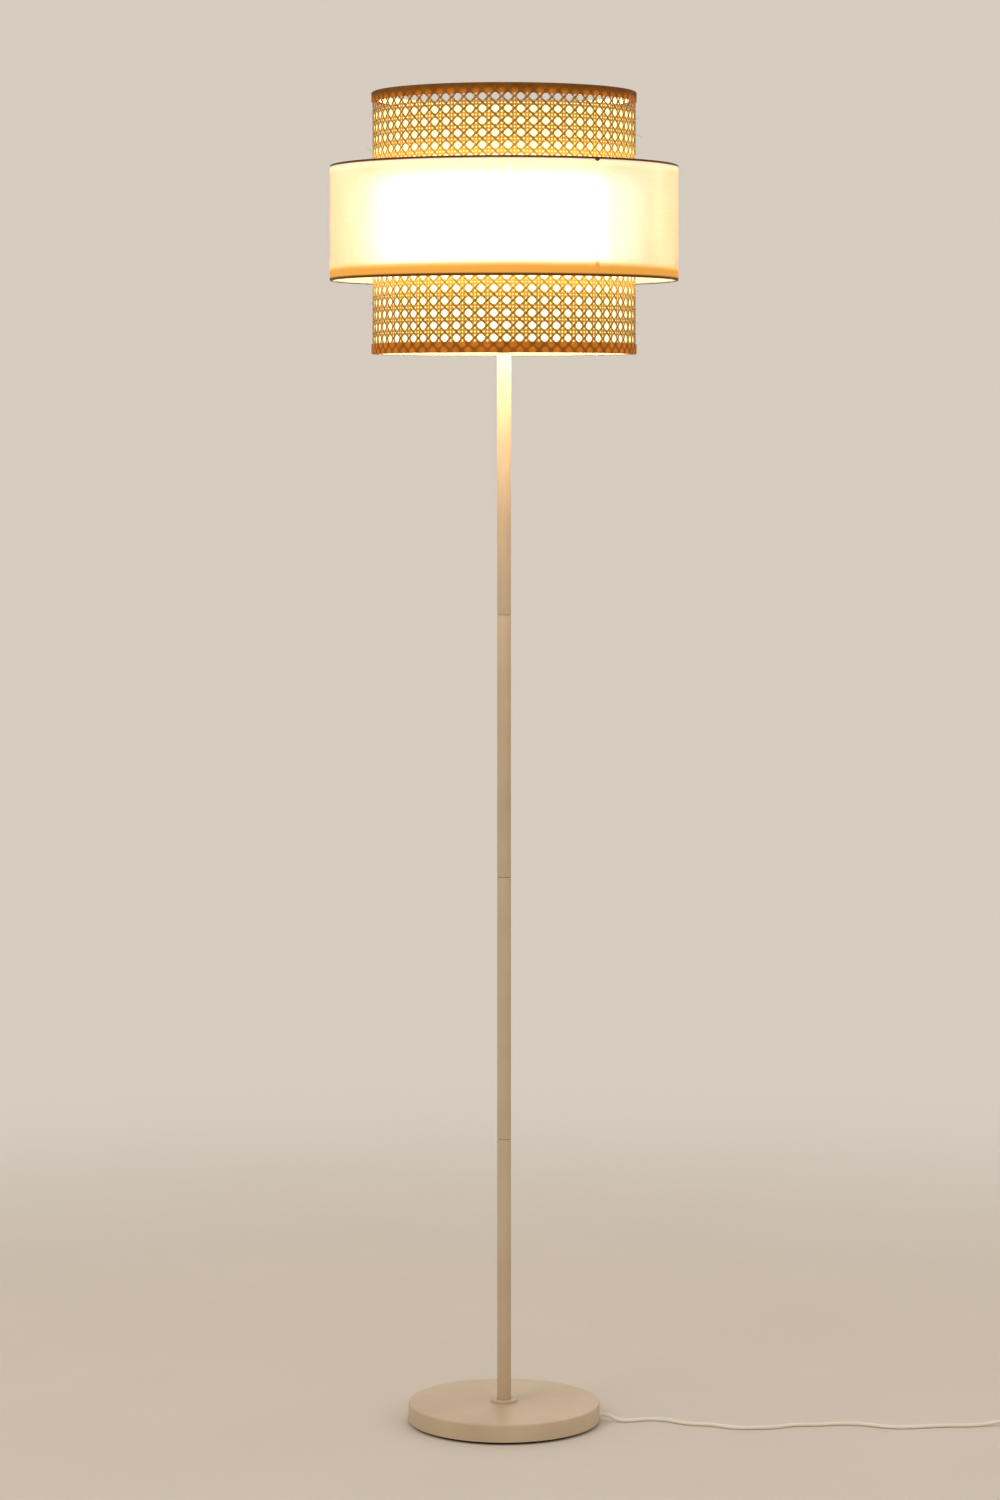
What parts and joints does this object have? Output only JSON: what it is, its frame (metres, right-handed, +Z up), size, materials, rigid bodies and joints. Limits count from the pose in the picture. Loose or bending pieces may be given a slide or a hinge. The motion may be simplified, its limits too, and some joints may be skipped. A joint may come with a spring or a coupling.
{
  "type": "floor lamp",
  "caption": "Floor lamp with a round weighted base, a slim pole and a tiered shade, cane webbing above and below a wider fabric drum, with a cord, foot switch and plug.",
  "frame": {"origin": "centre of the foot pad's underside, on the floor under the pole", "axes": "+Z up along the pole, +X towards the side that the cord leaves the base on, -Y towards the viewer"},
  "size_m": [0.9541, 0.4, 1.527],
  "materials": {
    "foot_rubber": "matte",
    "cast_weight": "matte",
    "cream_paint": "satin",
    "zinc_steel": "satin",
    "white_plastic": "satin",
    "cord_sheath": "satin",
    "holder_ceramic": "satin",
    "opal_glass": "gloss",
    "wire_paint": "satin",
    "liner_film": "matte",
    "cane": "satin",
    "trim_tape": "matte",
    "drum_linen": "matte",
    "drum_hem": "matte",
    "plated_brass": "polished"
  },
  "bodies": {
    "lamp": {"base_pad": "foot_rubber", "base_weight": "cast_weight", "base_cover": "cream_paint", "base_washer": "zinc_steel", "base_nut": "zinc_steel", "base_stud": "zinc_steel", "base_collar": "cream_paint", "cord_bushing": "white_plastic", "cord_clamp": "white_plastic", "cord_clamp_screw_1": "zinc_steel", "cord_clamp_screw_2": "zinc_steel", "inner_cable": "cord_sheath", "pole_section_1": "cream_paint", "pole_section_2": "cream_paint", "pole_section_3": "cream_paint", "pole_section_4": "cream_paint", "pole_joint_stud_1": "zinc_steel", "pole_joint_stud_2": "zinc_steel", "pole_joint_stud_3": "zinc_steel", "holder_nipple": "zinc_steel", "lampholder_cap": "white_plastic", "lampholder_insert": "holder_ceramic", "lampholder_shell": "white_plastic", "shade_ring_nut": "white_plastic", "bulb_cap": "zinc_steel", "bulb_globe": "opal_glass", "shade_spider": "wire_paint", "shade_top_ring": "wire_paint", "drum_frame_bottom": "wire_paint", "drum_frame_top": "wire_paint", "shade_liner": "liner_film", "lower_cane_webbing": "cane", "upper_cane_webbing": "cane", "bottom_trim": "trim_tape", "top_trim": "trim_tape", "drum_fabric": "drum_linen", "drum_bottom_hem": "drum_hem", "drum_top_hem": "drum_hem", "supply_cord": "cord_sheath", "switch_lower_housing": "white_plastic", "switch_contact_block": "white_plastic", "switch_upper_housing": "white_plastic", "cord_after_switch": "cord_sheath", "cord_coil": "cord_sheath", "coil_tie": "white_plastic", "cord_to_plug": "cord_sheath", "plug_body": "white_plastic", "plug_pin_left": "plated_brass", "plug_pin_right": "plated_brass"},
    "foot_button": {"switch_button": "white_plastic"}
  },
  "joints": [
    {"name": "foot_button_press", "type": "slide", "parent": "lamp", "child": "foot_button", "axis": [0, 0, -1], "range_m": [0, 0.003], "stiffness_N_per_m": 800, "springref_m": -0.002}
  ]
}
